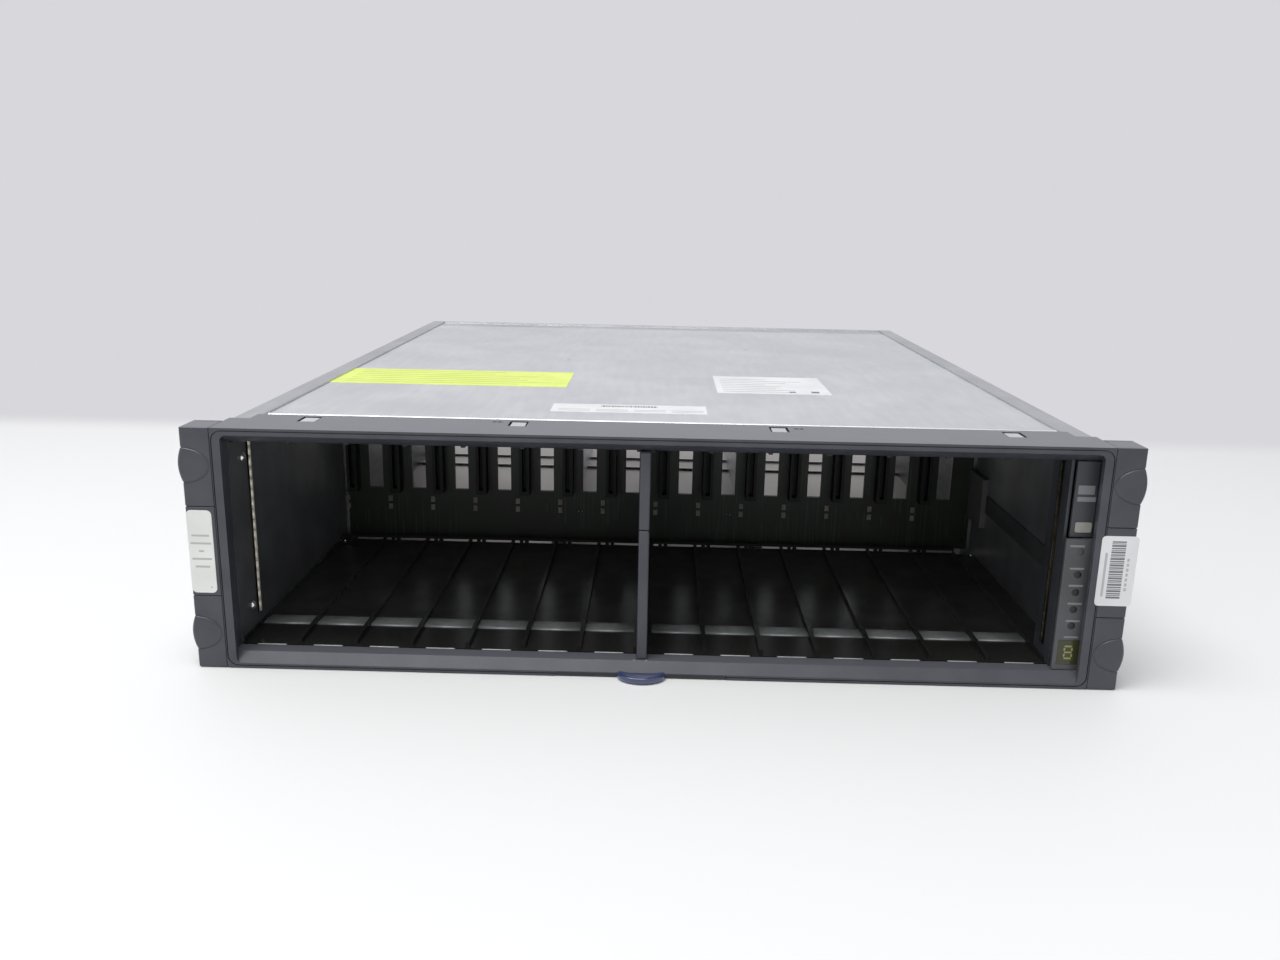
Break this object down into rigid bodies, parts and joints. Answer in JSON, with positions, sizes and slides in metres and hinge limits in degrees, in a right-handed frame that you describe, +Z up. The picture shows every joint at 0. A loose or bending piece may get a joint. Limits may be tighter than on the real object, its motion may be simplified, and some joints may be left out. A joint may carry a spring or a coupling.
{
  "type": "disk shelf enclosure",
  "caption": "Empty rack-mount disk shelf enclosure with open front drive bays, midplane, moulded bezel with operator panel, snap-off ear caps, pull-out card and open rear module bays.",
  "frame": {"origin": "centre of the whole part's box in X and Y, on the surface it stands on (underside of the chassis)", "axes": "+X to the right seen from the front, +Y from the front bezel to the rear, +Z up"},
  "size_m": [0.4786, 0.549, 0.1275],
  "materials": {
    "zinc_steel": "satin zinc plate",
    "bright_steel": "bright nickel",
    "bezel_plastic": "fine moulded texture, purple-grey",
    "black_gloss_plastic": "glossy black moulding",
    "black_plastic": "matte black",
    "connector_plastic": "matte black",
    "circuit_board": "dark green solder mask",
    "gold_plate": "gold plated",
    "lamp_plastic": "smoked, unlit",
    "amber_window": "olive amber filter",
    "display_body": "matte",
    "grey_plastic": "light grey",
    "blue_plastic": "dark blue, smooth",
    "card_plastic": "grey",
    "badge_grey": "light grey print",
    "white_label": "white sticker",
    "yellow_label": "fluorescent yellow sticker"
  },
  "bodies": {
    "enclosure": {"chassis_floor": "zinc_steel", "side_wall_left": "zinc_steel", "side_wall_right": "zinc_steel", "front_crossmember": "zinc_steel", "rear_crossmember": "zinc_steel", "top_cover": "zinc_steel", "divider_left": "zinc_steel", "divider_right": "zinc_steel", "module_guides": "zinc_steel", "latch_rails": "zinc_steel", "module_crossbar": "zinc_steel", "midplane_bracket_left": "zinc_steel", "midplane_bracket_right": "zinc_steel", "ground_clips_lower": "zinc_steel", "ground_clips_upper": "zinc_steel", "liner_rivets": "bright_steel", "midplane_screws": "bright_steel", "cover_rivets": "bright_steel", "bezel_frame": "bezel_plastic", "ear_middle_left": "bezel_plastic", "ear_middle_right": "bezel_plastic", "operator_plate_lower": "bezel_plastic", "operator_plate_upper": "bezel_plastic", "mullion_lower": "bezel_plastic", "mullion_upper": "bezel_plastic", "guide_tray_lower": "black_gloss_plastic", "guide_tray_upper": "black_gloss_plastic", "centre_partition": "black_gloss_plastic", "side_liner_left": "black_plastic", "side_liner_right": "black_plastic", "operator_housing": "black_plastic", "id_switch_housing": "black_plastic", "card_runner": "black_plastic", "drive_connectors": "connector_plastic", "module_connectors": "connector_plastic", "power_connectors": "connector_plastic", "midplane_board": "circuit_board", "operator_board": "circuit_board", "drive_contacts": "gold_plate", "finger_gasket_left": "gold_plate", "finger_gasket_right": "gold_plate", "led_lenses": "lamp_plastic", "display_window": "amber_window", "display_module": "display_body", "harness_connector": "grey_plastic", "operator_cable": "grey_plastic", "badge_plate": "badge_grey", "ear_label": "white_label", "asset_label": "white_label", "bar_label": "white_label", "spec_label": "white_label", "caution_label": "yellow_label"},
    "id_card": {"pull_card": "card_plastic", "pull_grip": "blue_plastic"},
    "cap_upper_left": {"ear_cap_upper_left": "bezel_plastic"},
    "cap_lower_left": {"ear_cap_lower_left": "bezel_plastic"},
    "cap_upper_right": {"ear_cap_upper_right": "bezel_plastic"},
    "cap_lower_right": {"ear_cap_lower_right": "bezel_plastic"},
    "shelf_number_wheel": {"id_wheel": "black_plastic"}
  },
  "joints": [
    {"name": "id_card_slide", "type": "slide", "parent": "enclosure", "child": "id_card", "axis": [0, -1, 0], "range_m": [0, 0.07]},
    {"name": "cap_upper_left_pull", "type": "slide", "parent": "enclosure", "child": "cap_upper_left", "axis": [0, -1, 0], "range_m": [0, 0.04]},
    {"name": "cap_lower_left_pull", "type": "slide", "parent": "enclosure", "child": "cap_lower_left", "axis": [0, -1, 0], "range_m": [0, 0.04]},
    {"name": "cap_upper_right_pull", "type": "slide", "parent": "enclosure", "child": "cap_upper_right", "axis": [0, -1, 0], "range_m": [0, 0.04]},
    {"name": "cap_lower_right_pull", "type": "slide", "parent": "enclosure", "child": "cap_lower_right", "axis": [0, -1, 0], "range_m": [0, 0.04]},
    {"name": "shelf_number_turn", "type": "hinge", "parent": "enclosure", "child": "shelf_number_wheel", "pos_m": [0, 0.2687, 0.0618], "axis": [1, 0, 0], "continuous": true}
  ]
}
